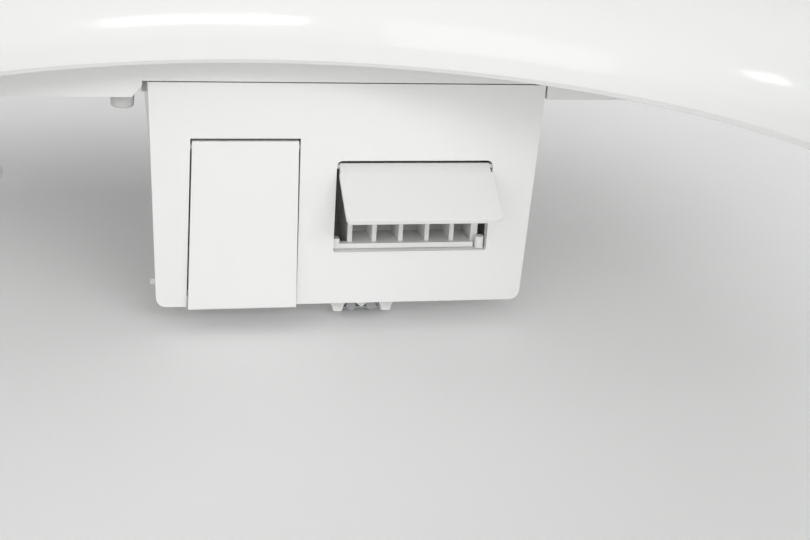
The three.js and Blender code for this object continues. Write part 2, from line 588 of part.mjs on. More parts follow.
// ---------- mounting ----------
function bracket() {
  const plate = prism("z", rectangle([-98, 98], [-12, 56], 6), [0, 3.5]);
  const slot = (s) => prism("z", rectangle([s * BOLT.x - 7, s * BOLT.x + 7], [-7, 26], 6.9), [-1, 5]);
  return cut(plate, slot(-1), slot(1));
}

function fixingBolt(x) {
  const head = rod("z", 7, [5.7, 10.6], [x, 0], 6);
  return cut(join(head, rod("z", BOLT.radius, [10.6 - BOLT.length, 6], [x, 0], 16)),
    block([x - 4, x + 4], [-0.8, 0.8], [9.2, 12]));
}

const washer = (x) =>
  cut(rod("z", 10.5, [3.8, 5.4], [x, 0], 24), rod("z", BOLT.radius + 0.3, [3, 6], [x, 0], 16));

function bushCone(x) {
  const cone = rod("z", 8, [-44, -16], [x, 0], 20, 12);
  return cut(cone, rod("z", BOLT.radius + 0.3, [-50, 0], [x, 0], 16));
}

function fixingNut(x) {
  const wing = (a) => solid(new THREE.BoxGeometry(26, 4, 7).rotateZ(a).translate(x, 0, -47.9));
  return cut(join(rod("z", 8, [-51.2, -44.4], [x, 0], 20), wing(0.6)),
    rod("z", BOLT.radius + 0.3, [-60, -40], [x, 0], 16));
}

// ---------- small parts on and in the casing ----------
function keyPlate() {
  const plate = prism("x", rectangle([8, 80], [29, 51], 8), [UNIT.half + GAP, UNIT.half + 2]);
  return cut(plate, ...BUTTON.ys.map((y) =>
    rod("x", BUTTON.radius + GAP, [190, 200], [y, BUTTON.z], 20)));
}

function odourCartridge() {
  const body = block([-192, -158], [-9.6, 25.6], [16.4, 39.6]);
  const face = block([-195.4, -192], [-10, 26], [16, 40]);
  const slots = [0, 1, 2, 3, 4].map((k) =>
    block([-197, -194], [-6 + k * 6.4, -3 + k * 6.4], [20, 36]));
  return cut(join(body, face), ...slots);
}

function cordGland() {
  const at = [CORD.x, CORD.z];
  const sleeve = join(rod("y", 8, [96, 99.4], at), rod("y", 5.4, [99.2, 118], at, 20, 4.2));
  return cut(sleeve, rod("y", CORD.bore, [95, 120], at, 16));
}

function waterInlet() {
  const at = [INLET.x, INLET.y];
  const nipple = join(rod("z", 10.4, [-12, 9], at), rod("z", 13, [7.4, 11], at, 6));
  return cut(nipple, rod("z", INLET.bore, [-13, 12], at));
}

const inletValve = () =>
  join(block([-187, -157], [46, 74], [11.4, 40]), rod("z", 9, [39, 58], [INLET.x, INLET.y], 20));

const waterHeater = () =>
  join(block([-138, -84], [31, 84], [9, 56]), rod("z", 5, [55, 62], [-111, 56], 16));

const waterPump = () => join(rod("y", 17, [30, 80], [-54, 27.4]), block([-68, -40], [36, 74], [9, 20]));

const controlBoard = () =>
  cut(block([102, 186], [22, 76], [10.6, 12.6]), rod("z", 2, [9, 14], [108, 28], 10),
    rod("z", 2, [9, 14], [180, 28], 10));

// ---------- assembly ----------
add("lower_case", lowerCase(), SATIN_WHITE);
add("upper_case", upperCase(), SATIN_WHITE);
add("front_panel", frontPanel(), SATIN_WHITE);
add("nozzle_housing", nozzleHousing(), SATIN_WHITE);
add("nozzle_door", nozzleDoor(), SATIN_WHITE);
add("dryer_grille", dryerGrille(), SATIN_WHITE);
add("drain_spout", drainSpout(), SATIN_WHITE);
add("drain_strainer", drainStrainer(), GREY_PLASTIC);
add("dryer_flap", dryerFlap(), SATIN_WHITE, turned(FLAP.hingeY, FLAP.hingeZ, -FLAP.open));
FEET.forEach((at, k) =>
  add(`case_foot_${k + 1}`, rod("z", 2.9, [0, BASE_Z - 0.02], at, 20, 3.1), RUBBER));

const tilt = THREE.MathUtils.degToRad(NOZZLE.angle);
const nozzle = turned(PANEL_Y + NOZZLE.setback * Math.cos(tilt),
  NOZZLE.crossing + NOZZLE.setback * Math.sin(tilt), NOZZLE.angle);
add("nozzle_guide", nozzleGuide(), GREY_PLASTIC, nozzle);
add("nozzle_sleeve", nozzleSleeve(), SATIN_WHITE, nozzle);
add("nozzle_tube", tube(NOZZLE.tube, 2.9, [22.3, 104]), STEEL, nozzle);
add("nozzle_tip", nozzleTip(), GLOSS_WHITE, nozzle);
add("nozzle_pinion", nozzlePinion(), GREY_PLASTIC, nozzle);
add("nozzle_motor", nozzleMotor(), STEEL, nozzle);

add("dryer_duct", dryerDuct(), SATIN_WHITE);
add("dryer_heater", dryerHeater(), DARK_PLASTIC);
add("blower_case", blowerCase(), DARK_PLASTIC);
add("blower_rotor", blowerRotor(), GREY_PLASTIC);
add("blower_motor", blowerMotor(), STEEL);

add("seat_upper_shell", seatUpper(), GLOSS_WHITE);
add("seat_lower_shell", seatLower(), GLOSS_WHITE);
add("seat_heater_foil", seatHeater(), STEEL);
const SEAT_FEET = { rear_left: [-158, -150], rear_right: [158, -150],
  front_left: [-62, -424], front_right: [62, -424] };
for (const [name, at] of Object.entries(SEAT_FEET))
  add(`seat_bumper_${name}`, rod("z", 8, [0, SEAT.bottom - GAP], at, 20, 9.5), RUBBER);

const lid = turned(HINGE.y, HINGE.z, -HINGE.lidOpen);
const lidFrame = new THREE.Group();
lidFrame.position.set(0, -HINGE.y, -HINGE.z);
lid.add(lidFrame);
add("lid", lidShell(), GLOSS_WHITE, lidFrame);
add("lid_bumper_left", lidBumper(-110), RUBBER, lidFrame);
add("lid_bumper_right", lidBumper(110), RUBBER, lidFrame);

for (const [name, side] of [["left", -1], ["right", 1]]) {
  const span = (a, b) => [side * a, side * b].sort((m, n) => m - n);
  const at = [HINGE.y, HINGE.z];
  add(`hinge_pin_${name}`, rod("x", HINGE.pin, span(106, 156), at), STEEL);
  add(`soft_close_damper_${name}`, rod("x", 9, span(156.4, 182), at), DARK_PLASTIC);
  add(`fixing_bolt_${name}`, fixingBolt(side * BOLT.x), STEEL);
  add(`fixing_washer_${name}`, washer(side * BOLT.x), STEEL);
  add(`fixing_cone_${name}`, bushCone(side * BOLT.x), RUBBER);
  add(`fixing_nut_${name}`, fixingNut(side * BOLT.x), GREY_PLASTIC);
}
add("mounting_bracket", bracket(), GREY_PLASTIC);

add("key_plate", keyPlate(), GREY_PLASTIC);
["power", "wash", "dry", "stop"].forEach((name, k) =>
  add(`key_${name}`, rod("x", BUTTON.radius, [193.4, 198.6], [BUTTON.ys[k], BUTTON.z], 20),
    GLOSS_WHITE));
add("release_button", rod("x", RELEASE.radius, [-196.6, -190], [RELEASE.y, RELEASE.z], 20),
  GREY_PLASTIC);
add("deodoriser_cartridge", odourCartridge(), GREY_PLASTIC);
add("occupancy_lens", block([70.3, 95.7], [-24.2, -20], [44.3, 53.7]), BLACK_LENS);
add("cord_gland", cordGland(), RUBBER);
add("water_inlet", waterInlet(), BRASS);
add("inlet_valve", inletValve(), DARK_PLASTIC);
add("water_heater", waterHeater(), GREY_PLASTIC);
add("water_pump", waterPump(), DARK_PLASTIC);
add("power_transformer", block([122, 156], [40, 74], [13.4, 44]), STEEL);
add("control_board", controlBoard(), BOARD);

export default root;
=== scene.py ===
"""An electric bidet seat: the rear arc of its seat ring and the nozzle and dryer housing below it."""
import json
import math

import bmesh
import bpy
from mathutils import Matrix, Vector


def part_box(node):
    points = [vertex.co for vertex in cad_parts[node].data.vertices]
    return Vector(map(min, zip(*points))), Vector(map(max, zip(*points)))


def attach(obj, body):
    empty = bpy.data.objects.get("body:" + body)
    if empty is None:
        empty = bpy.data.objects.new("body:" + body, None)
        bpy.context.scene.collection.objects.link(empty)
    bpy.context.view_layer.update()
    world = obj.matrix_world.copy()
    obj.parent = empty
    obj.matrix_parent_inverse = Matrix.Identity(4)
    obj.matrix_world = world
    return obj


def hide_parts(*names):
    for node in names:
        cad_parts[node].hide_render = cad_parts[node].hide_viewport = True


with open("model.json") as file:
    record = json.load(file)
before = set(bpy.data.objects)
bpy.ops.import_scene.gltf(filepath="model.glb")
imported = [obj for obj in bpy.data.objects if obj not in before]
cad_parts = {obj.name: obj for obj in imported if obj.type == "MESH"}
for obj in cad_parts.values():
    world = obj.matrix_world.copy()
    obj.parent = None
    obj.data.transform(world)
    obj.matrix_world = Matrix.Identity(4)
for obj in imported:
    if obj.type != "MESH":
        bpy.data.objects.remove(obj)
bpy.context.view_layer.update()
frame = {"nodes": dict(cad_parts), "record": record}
MM = 0.001
MICRON = 0.000001


# ---------- materials ----------
class Shader:
    """A Principled material whose colour, roughness and bump come from procedural nodes."""

    def __init__(self, name, color, roughness, metallic=0.0, coat=0.0, specular=0.5):
        self.material = bpy.data.materials.new(name)
        self.material.use_nodes = True
        self.nodes = self.material.node_tree.nodes
        self.links = self.material.node_tree.links
        self.bsdf = self.nodes["Principled BSDF"]
        self.bsdf.inputs["Base Color"].default_value = (*color, 1)
        self.bsdf.inputs["Roughness"].default_value = roughness
        self.bsdf.inputs["Metallic"].default_value = metallic
        self.bsdf.inputs["Coat Weight"].default_value = coat
        self.bsdf.inputs["Coat Roughness"].default_value = 0.06
        self.bsdf.inputs["Specular IOR Level"].default_value = specular
        self.color, self.roughness = color, roughness
        self.place = self.nodes.new("ShaderNodeTexCoord").outputs["Object"]
        self.normal = None

    def noise(self, scale, detail, stretch=None):
        """Noise with so many waves to a metre, stretched along some axes if need be."""
        place = self.place
        if stretch:
            mapping = self.nodes.new("ShaderNodeMapping")
            mapping.inputs["Scale"].default_value = stretch
            self.links.new(place, mapping.inputs["Vector"])
            place = mapping.outputs["Vector"]
        node = self.nodes.new("ShaderNodeTexNoise")
        node.inputs["Scale"].default_value = scale
        node.inputs["Detail"].default_value = detail
        self.links.new(place, node.inputs["Vector"])
        return node.outputs["Fac"]

    def vary_color(self, source, change, tint=(1, 1, 1)):
        """Mixes the colour with a slightly darker or tinted one."""
        node = self.nodes.new("ShaderNodeMix")
        node.data_type = "RGBA"
        node.inputs["A"].default_value = (*self.color, 1)
        node.inputs["B"].default_value = (*(c * (1 - change) * t for c, t in zip(self.color, tint)), 1)
        self.links.new(source, node.inputs["Factor"])
        self.links.new(node.outputs["Result"], self.bsdf.inputs["Base Color"])

    def vary_roughness(self, source, amount):
        """Spreads the middle of the noise's range over roughnesses up to an amount away."""
        node = self.nodes.new("ShaderNodeMapRange")
        node.inputs["From Min"].default_value = 0.3
        node.inputs["From Max"].default_value = 0.7
        node.inputs["To Min"].default_value = self.roughness - amount
        node.inputs["To Max"].default_value = self.roughness + amount
        self.links.new(source, node.inputs["Value"])
        self.links.new(node.outputs["Result"], self.bsdf.inputs["Roughness"])

    def bump(self, source, microns):
        """Adds relief of this depth over any that is there."""
        node = self.nodes.new("ShaderNodeBump")
        node.inputs["Distance"].default_value = microns * MICRON
        node.inputs["Strength"].default_value = 1
        self.links.new(source, node.inputs["Height"])
        if self.normal:
            self.links.new(self.normal, node.inputs["Normal"])
        self.normal = node.outputs["Normal"]
        self.links.new(self.normal, self.bsdf.inputs["Normal"])


def moulded_plastic(name, color, roughness, coat, peel, grain, mottle):
    """Injection-moulded plastic: slow waves from the mould, a fine grain and faint flow marks."""
    shader = Shader(name, color, roughness, coat=coat)
    shader.vary_color(shader.noise(14, 4), mottle, (1, 0.998, 0.99))
    shader.vary_roughness(shader.noise(55, 5), 0.035)
    shader.bump(shader.noise(260, 2), peel)
    shader.bump(shader.noise(2600, 2), grain)
    return shader.material


def brushed_metal(name, color, roughness, stretch):
    """Metal with fine streaks in its colour, its gloss and its relief."""
    shader = Shader(name, color, roughness, metallic=1.0)
    streaks = shader.noise(220, 5, stretch)
    shader.vary_color(streaks, 0.18)
    shader.vary_roughness(streaks, 0.08)
    shader.bump(streaks, 20)
    return shader.material


def soft_rubber(name, color):
    """Matt rubber with a fine pitted skin."""
    shader = Shader(name, color, 0.72, specular=0.35)
    shader.vary_color(shader.noise(120, 6), 0.08)
    shader.vary_roughness(shader.noise(900, 3), 0.08)
    shader.bump(shader.noise(1500, 4), 60)
    return shader.material


def circuit_board(name):
    """Green solder mask over square-cornered copper tracks."""
    shader = Shader(name, (0.015, 0.11, 0.045), 0.32, coat=0.3)
    tracks = shader.nodes.new("ShaderNodeTexBrick")
    tracks.inputs["Scale"].default_value = 190
    tracks.inputs["Mortar Size"].default_value = 0.03
    shader.links.new(shader.place, tracks.inputs["Vector"])
    shader.vary_color(tracks.outputs["Fac"], -0.9, (1.1, 1, 1))
    shader.bump(tracks.outputs["Fac"], 40)
    return shader.material


PLASTICS = {  # colour, roughness, coat, depth of waves and of grain in microns, depth of mottling
    "gloss_white": ((0.80, 0.80, 0.795), 0.16, 0.25, 12, 0.8, 0.012),
    "satin_white": ((0.86, 0.86, 0.855), 0.36, 0.06, 10, 6, 0.02),
    "grey_plastic": ((0.40, 0.41, 0.42), 0.5, 0.0, 10, 10, 0.06),
    "dark_plastic": ((0.025, 0.026, 0.028), 0.48, 0.0, 10, 10, 0.2),
    "dark_lens": ((0.006, 0.006, 0.008), 0.07, 0.6, 4, 0.4, 0.3),
}
METALS = {  # colour, roughness, how closely the streaks lie along each axis
    "steel": ((0.62, 0.63, 0.64), 0.3, (1, 14, 14)),
    "heater_foil": ((0.8, 0.8, 0.81), 0.22, (3, 3, 3)),
    "brass": ((0.72, 0.52, 0.22), 0.26, (1, 1, 20)),
}
MATERIAL = {name: moulded_plastic(name, *finish) for name, finish in PLASTICS.items()}
MATERIAL.update({name: brushed_metal(name, *finish) for name, finish in METALS.items()})
MATERIAL["soft_rubber"] = soft_rubber("soft_rubber", (0.62, 0.62, 0.61))
MATERIAL["circuit_board"] = circuit_board("circuit_board")
SLOT_OF = {row["node"]: row["material_slot"] for row in frame["record"]["subparts"]}
BODIES = frame["record"]["behaviour"]["bodies"]
BODY_OF = {node: body for body, nodes in BODIES.items() for node in nodes}


# ---------- making solids, in millimetres ----------
PLACE_OF = {"x": (1, 2, 0), "y": (0, 2, 1), "z": (0, 1, 2)}  # where (u, v, along) go
CORE = 0.05  # a turned solid's smallest radius, so that its end rings are true rings


def new_object(name, bm):
    mesh = bpy.data.meshes.new(name)
    bm.to_mesh(mesh)
    bm.free()
    piece = bpy.data.objects.new(name, mesh)
    bpy.context.scene.collection.objects.link(piece)
    return piece


def settle(piece):
    """Applies the piece's modifiers."""
    bpy.context.view_layer.update()
    done = piece.evaluated_get(bpy.context.evaluated_depsgraph_get())
    mesh = bpy.data.meshes.new_from_object(done)
    piece.modifiers.clear()
    piece.data = mesh
    return piece


def boolean(operation, base, *tools):
    for tool in tools:
        step = base.modifiers.new("step", "BOOLEAN")
        step.operation = operation
        step.solver = "MANIFOLD"
        step.object = tool
    settle(base)
    for tool in tools:
        bpy.data.objects.remove(tool)
    return base


def join(base, *tools):
    return boolean("UNION", base, *tools)


def cut(base, *tools):
    return boolean("DIFFERENCE", base, *tools)


def overlap(base, *tools):
    return boolean("INTERSECT", base, *tools)


def rounded(points, steps=12):
    """A polygon with round corners, from (u, v) or (u, v, radius) points."""
    outline = []
    for k, point in enumerate(points):
        corner = Vector(point[:2])
        if len(point) == 2:
            outline.append(corner)
            continue
        before = (Vector(points[k - 1][:2]) - corner).normalized()
        after = (Vector(points[(k + 1) % len(points)][:2]) - corner).normalized()
        half = before.angle(after) / 2
        centre = corner + (before + after).normalized() * point[2] / math.sin(half)
        reach_back = point[2] / math.tan(half)
        start = corner + before * reach_back - centre
        end = corner + after * reach_back - centre
        sweep = math.atan2(start.cross(end), start.dot(end))
        for step in range(steps + 1):
            outline.append(centre + Matrix.Rotation(sweep * step / steps, 2) @ start)
    return outline


def rectangle(u, v):
    return [(u[0], v[0]), (u[1], v[0]), (u[1], v[1]), (u[0], v[1])]


def circle(radius, at=(0, 0), sides=64):
    points = []
    for k in range(sides):
        turn = k * (2 * math.pi / sides)
        points.append(Vector((at[0] + radius * math.cos(turn), at[1] + radius * math.sin(turn))))
    return points


def skin(rings, closed=False):
    """A closed mesh through rings of equally many points. A ring of rings closes on itself."""
    bm = bmesh.new()
    rows = [[bm.verts.new(Vector(p) * MM) for p in ring] for ring in rings]
    count = len(rows[0])
    for low, high in zip(rows, rows[1:] + (rows[:1] if closed else [])):
        for k in range(count):
            n = (k + 1) % count
            bm.faces.new((low[k], low[n], high[n], high[k]))
    if not closed:
        bm.faces.new(rows[0])
        bm.faces.new(rows[-1])
    bmesh.ops.recalc_face_normals(bm, faces=bm.faces)
    return new_object("solid", bm)


def placed(axis, outline, distance):
    """An outline in the two other axes, in x, y, z order, put at a distance along one axis."""
    u, v, along = PLACE_OF[axis]
    points = []
    for p in outline:
        point = [0, 0, 0]
        point[u], point[v], point[along] = p[0], p[1], distance
        points.append(point)
    return points


def prism(axis, outline, span):
    return skin([placed(axis, outline, distance) for distance in span])


def block(x, y, z):
    return prism("z", rectangle(x, y), z)


def rod(axis, radius, span, at, sides=64):
    return prism(axis, circle(radius, at, sides), span)


def lathe(axis, at, profile, closed=False):
    """A turned solid: (radius, distance along the axis) points. A closed profile leaves a bore."""
    return skin([placed(axis, circle(radius, at), distance) for radius, distance in profile], closed)


def span_of(node):
    """A node's box in millimetres, as its x, y and z ranges."""
    low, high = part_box(node)
    return [(low[k] / MM, high[k] / MM) for k in range(3)]


def middle(span):
    return (span[0] + span[1]) / 2


def half_of(span):
    return (span[1] - span[0]) / 2


def widened(span, play):
    return span[0] - play, span[1] + play


# ---------- finishing pieces ----------
DONE = set()


def finish_piece(piece, nodes, slot=None, bevel=0.35, segments=3, limit=32):
    """Rounds the piece's edges, shades it, and lets it stand for its CAD nodes."""
    if bevel:
        rounding = piece.modifiers.new("rounding", "BEVEL")
        rounding.width = bevel * MM
        rounding.segments = segments
        rounding.limit_method = "ANGLE"
        rounding.angle_limit = math.radians(limit)
        rounding.use_clamp_overlap = True
        settle(piece)
    slot = slot or SLOT_OF[nodes[0]]
    piece.data.polygons.foreach_set("use_smooth", [True] * len(piece.data.polygons))
    piece.data.set_sharp_from_angle(angle=math.radians(38))
    piece.data.materials.clear()
    piece.data.materials.append(MATERIAL[slot])
    if bevel:
        weighted = piece.modifiers.new("flat_faces", "WEIGHTED_NORMAL")
        weighted.keep_sharp = True
        settle(piece)
    piece.name = nodes[0] + "_fine"
    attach(piece, BODY_OF[nodes[0]])
    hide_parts(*nodes)
    DONE.update(nodes)


def refine(node, bevel):
    """A copy of a CAD node with its flat faces made whole and its edges rounded."""
    bm = bmesh.new()
    bm.from_mesh(frame["nodes"][node].data)
    bmesh.ops.remove_doubles(bm, verts=bm.verts, dist=0.004 * MM)
    bmesh.ops.dissolve_limit(bm, angle_limit=math.radians(0.5), verts=bm.verts, edges=bm.edges)
    finish_piece(new_object(node, bm), [node], bevel=bevel)


# ---------- seat ring and lid ----------
OPENING = {"half": 114.5, "rear": 107.3, "front": 158, "rear_power": 2, "front_power": 2}
OUTER = {"half": 190, "rear": 190, "front": 239, "rear_power": 5, "front_power": 2.2}
SEAT = {"skin": 2.8, "crest": 44.5, "flatness": 3.2, "fullness": 2.2}
PARTING = {"rear": 1.0, "growth": 1.1, "outside": 1.5}  # how far the parting line is above the bottom
PLATE = {"gap": 0.03, "lean": 0.5, "soft": 0.3, "nick": 0.05}  # the seat's lower shell
LID = {"margin": 4, "skirt": 34, "top": 61, "skin": 3}
SEAT_LUGS = [(-148, -130), (130, 148)]
SEAT_ARM = {"end": -48, "top": 41.5, "bottom": 33}
LID_LUGS = [(-128, -114), (114, 128)]
LID_ARM = {"end": -46, "top": 53.4, "bottom": 49.8}
LUG_RADIUS = 9
PIN_HOLE = 4.35
STEPS_ROUND = 192

seat_x, seat_y, seat_z = span_of("seat_lower_shell")
SEAT_BOTTOM = seat_z[0]
SEAT_CENTRE = Vector((middle(seat_x), seat_y[0] + OUTER["front"]))
JOINT = {joint["name"]: joint for joint in frame["record"]["behaviour"]["joints"]}
HINGE_Y, HINGE_Z = (value / MM for value in JOINT["lid_hinge"]["pos_m"][1:])
LID_CLOSED = math.radians(JOINT["lid_hinge"]["range_deg"][0])


def reach(shape, t):
    """The distance from the ring's centre to an egg-shaped outline, in direction t."""
    side = "rear" if math.sin(t) > 0 else "front"
    power = shape[side + "_power"]
    total = abs(math.cos(t) / shape["half"]) ** power + abs(math.sin(t) / shape[side]) ** power
    return total ** (-1 / power)


def polar(t, radius, z):
    return Vector((SEAT_CENTRE.x + radius * math.cos(t), SEAT_CENTRE.y + radius * math.sin(t), z))


def around(make):
    return [make(2 * math.pi * (k + 0.5) / STEPS_ROUND) for k in range(STEPS_ROUND)]


def shares(steps):
    """Shares of a width, closer together at both ends."""
    return [(1 - math.cos(math.pi * k / steps)) / 2 for k in range(steps + 1)]


def parting_height(t, share):
    """The parting line's height in direction t, at a share of the way to the outside."""
    inside = PARTING["rear"] + PARTING["growth"] * (1 - math.sin(t))
    return SEAT_BOTTOM + inside * (1 - share) + PARTING["outside"] * share


def seat_profile(t, depth, steps):
    """The ring's domed cross-section in direction t, at a depth under its surface."""
    inner, outer = reach(OPENING, t) + depth, reach(OUTER, t) - depth
    points = []
    for share in shares(steps):
        dome = (1 - abs(2 * share - 1) ** SEAT["flatness"]) ** (1 / SEAT["fullness"])
        low = parting_height(t, share)
        height = low + (SEAT["crest"] - depth - low) * dome
        points.append(polar(t, inner + (outer - inner) * share, height))
    return points


def plate_profile(t):
    """The flat lower shell's cross-section in direction t."""
    inner, outer = reach(OPENING, t), reach(OUTER, t)
    low, soft, lean, nick = SEAT_BOTTOM, PLATE["soft"], PLATE["lean"], PLATE["nick"]
    inner_top, outer_top = (parting_height(t, share) - PLATE["gap"] for share in (0, 1))
    corners = [(inner + lean + soft, low), (outer - soft, low), (outer, low + soft)]
    corners += [(outer, outer_top - soft / 2), (outer - soft / 2, outer_top)]
    corners += [(inner + nick, inner_top), (inner, inner_top - nick)]
    corners += [(inner + lean * 0.8, low + soft), (inner + lean, low + soft * 0.4)]
    return [polar(t, *corner) for corner in corners]


def lug(x, arm):
    """A hinge eye with an arm to the piece it carries."""
    high, low = HINGE_Z + LUG_RADIUS - 1, HINGE_Z - LUG_RADIUS + 1
    outline = [(HINGE_Y, high), (arm["end"], arm["top"]), (arm["end"], arm["bottom"]), (HINGE_Y, low)]
    return join(prism("x", outline, x), rod("x", LUG_RADIUS, x, (HINGE_Y, HINGE_Z)))


def pin_hole(x):
    return rod("x", PIN_HOLE, widened(x, 1), (HINGE_Y, HINGE_Z))


def seat_ring():
    """The domed upper shell with its hinge lugs, and the flat lower shell."""
    def section(t):
        return seat_profile(t, 0, 48) + seat_profile(t, SEAT["skin"], 24)[::-1]

    upper = skin(around(section), closed=True)
    join(upper, *(lug(x, SEAT_ARM) for x in SEAT_LUGS))
    cut(upper, *(pin_hole(x) for x in SEAT_LUGS))
    finish_piece(upper, ["seat_upper_shell"], bevel=0.25, segments=2, limit=40)
    finish_piece(skin(around(plate_profile), closed=True), ["seat_lower_shell"], bevel=0)


def lid_rings(depth, steps):
    """Rings from the middle of the closed lid out to its rim, at a depth under its surface."""
    rings = []
    for k in range(steps + 1):
        share = math.sin(math.pi / 2 * (k + 1) / (steps + 1)) ** 0.7
        dome = (1 - share ** 8) ** 0.4 if share < 1 else 0
        z = LID["skirt"] + (LID["top"] - LID["skirt"] - depth) * dome
        rings.append(around(lambda t: polar(t, (reach(OUTER, t) + LID["margin"] - depth) * share, z)))
    return rings


def lid():
    """The lid is shaped closed and then turned open about the hinge line."""
    shell = skin(lid_rings(0, 44) + lid_rings(LID["skin"], 30)[::-1])
    room_for_case = block((-260, 260), (-70, 0), (20, HINGE_Z - 0.5))
    cut(shell, room_for_case)
    join(shell, *(lug(x, LID_ARM) for x in LID_LUGS))
    cut(shell, *(pin_hole(x) for x in LID_LUGS))
    finish_piece(shell, ["lid"], bevel=0.5, segments=3, limit=40)
    hinge = Matrix.Translation((0, HINGE_Y * MM, HINGE_Z * MM))
    shell.data.transform(hinge @ Matrix.Rotation(LID_CLOSED, 4, "X") @ hinge.inverted())


# ---------- casing of the rear unit ----------
UNIT = {"half": 195, "seam": 14.3, "wall": 2.6}
PLAN_RADIUS = {"front": 14, "back": 26}
DECK = {"drop": 40, "radius": 8}  # the low front of the case, under its top
SLOPE = [(-10, 35.5, 6, 0.4), (20, 32, 10, 0.6), (40, 4, 16, 0.6)]  # y, drop, radius, lean per wall
CROWN_RADIUS = 14
FACE = {"rise": 2, "radius": 20}
POCKET = {"inside": 112, "outside": 150, "back": 14, "floor": 30, "wall": 2.2}
SIDE_WALL = (180, 200)
NOZZLE_WAY = ((-12, 12), (-26, -20), (10, 26))
DUCT_WAY = ((24, 68), (-26, -20), (10, 27))
BEYOND = 300  # further than any face of the case


def unit_form(y, top, wall):
    """The rear unit's solid form, "wall" under its outer face, as three prisms' common part."""
    front, back = y[0] + wall, y[1] - wall
    left, right = wall - UNIT["half"], UNIT["half"] - wall
    floor_level = UNIT["seam"] - wall
    side = [(front, floor_level), (front, top - DECK["drop"] - wall, DECK["radius"])]
    side += [(at + wall * lean, top - drop - wall, radius) for at, drop, radius, lean in SLOPE]
    side += [(back, top - wall, CROWN_RADIUS - wall), (back, floor_level)]
    near, far = PLAN_RADIUS["front"] - wall, PLAN_RADIUS["back"] - wall
    plan = [(left, front, near), (right, front, near), (right, back, far), (left, back, far)]
    crown, soft = top + FACE["rise"] - wall, FACE["radius"] - wall
    face = [(left, 0), (left, crown, soft), (right, crown, soft), (right, 0)]
    return overlap(prism("x", rounded(side), (left, right)),
                   prism("z", rounded(plan), (0, top + 20)),
                   prism("y", rounded(face), (front - 30, back + 30)))


def case_openings():
    """What is cut out of the case's walls for the parts that reach through them."""
    release, cartridge = span_of("release_button"), span_of("deodoriser_cartridge")
    lens, gland = span_of("occupancy_lens"), span_of("cord_gland")
    left_wall = (-SIDE_WALL[1], -SIDE_WALL[0])
    openings = [rod("x", PIN_HOLE, (-160, 160), (HINGE_Y, HINGE_Z))]
    for name in ("power", "wash", "dry", "stop"):
        _, y, z = span_of("key_" + name)
        openings.append(rod("x", half_of(y) + 0.3, SIDE_WALL, (middle(y), middle(z))))
    openings.append(rod("x", 7.4, left_wall, (middle(release[1]), middle(release[2]))))
    openings.append(block(left_wall, widened(cartridge[1], 0.4), widened(cartridge[2], 0.3)))
    openings.append(block(widened(lens[0], 0.3), (-30, -15), widened(lens[2], 0.3)))
    openings += [block(*NOZZLE_WAY), block(*DUCT_WAY)]
    openings.append(rod("y", 8.4, (90, 100), (middle(gland[0]), middle(gland[2]))))
    return openings


def upper_case():
    """A thin shell with a walled pocket for each pair of hinge lugs."""
    _, y, (_, top) = span_of("upper_case")
    pockets = [(-POCKET["outside"], -POCKET["inside"]), (POCKET["inside"], POCKET["outside"])]

    def pocket(x, grow):
        depth = (y[0] - 1, POCKET["back"] + grow)
        return block(widened(x, grow), depth, (POCKET["floor"] - grow, top + 20))

    below = block((-BEYOND, BEYOND), (-BEYOND, BEYOND), (-10, UNIT["seam"]))
    shell = cut(unit_form(y, top, 0), below)
    walls = [overlap(pocket(x, POCKET["wall"]), unit_form(y, top, 0.02)) for x in pockets]
    cut(shell, unit_form(y, top, UNIT["wall"]))
    join(shell, *walls)
    cut(shell, *(pocket(x, 0) for x in pockets), *case_openings())
    finish_piece(shell, ["upper_case"], bevel=0.6, segments=3, limit=35)


# ---------- round parts ----------
FOOT_SOFT = 0.2
BOLT = {"head": 4.9, "across": 7, "shank": 4.0, "pitch": 1.25, "groove": 0.55, "plain": 14}
NUT = {"bore": 4.3, "wing": 13, "high": 6.7, "half_thick": 2, "radius": 3, "turn": 0.6}
CONE = {"wide": 12, "narrow": 8, "bore": 4.3, "groove": 0.35, "rings": 28}
GLAND = {"flange": 8, "flange_thick": 3, "bore": 3.2, "ribs": 7, "pitch": 2.4}
INLET = {"radius": 10.4, "bore": 6.5, "hexagon": 13, "hexagon_high": 3.6, "pitch": 1.8, "groove": 0.9}


def foot(node):
    """A short soft-edged post."""
    x, y, z = span_of(node)
    radius, (low, high) = half_of(x), z
    profile = [(radius - 0.5, low), (radius - 0.15, low + 0.4), (radius, high - 0.4), (radius, high)]
    corners = [(CORE, low), *((*p, FOOT_SOFT) for p in profile), (CORE, high)]
    finish_piece(lathe("z", (middle(x), middle(y)), rounded(corners, 5)), [node], bevel=0)


def push_key(node):
    """A round key with a shallow dish for the fingertip."""
    (back, face), y, z = span_of(node)
    radius, steps, deep = half_of(y), 10, 0.7
    profile = [(CORE, back), (radius, back), (radius, face - 0.5)]
    profile += [(radius - 0.25, face - 0.12), (radius - 0.6, face)]
    for k in range(steps + 1):
        sink = deep * math.sin(math.pi / 2 * k / steps)
        profile.append((radius - 0.9 - k * (radius - 0.95) / steps, face - sink))
    finish_piece(lathe("x", (middle(y), middle(z)), profile), [node], bevel=0)


def release_button():
    """A round button with rings on its face. It ends just short of the valve it pushes on."""
    (face, back), y, z = span_of("release_button")
    radius, inner = half_of(y), back - 0.1
    profile = [(CORE, inner), (radius, inner)]
    profile += [(radius, face + 0.8), (radius - 0.3, face + 0.2), (radius - 0.8, face)]
    profile += [(radius - 1.4 - k * 0.7, face + (0.25 if k % 2 else 0)) for k in range(8)]
    profile.append((CORE, face))
    finish_piece(lathe("x", (middle(y), middle(z)), profile), ["release_button"], bevel=0)


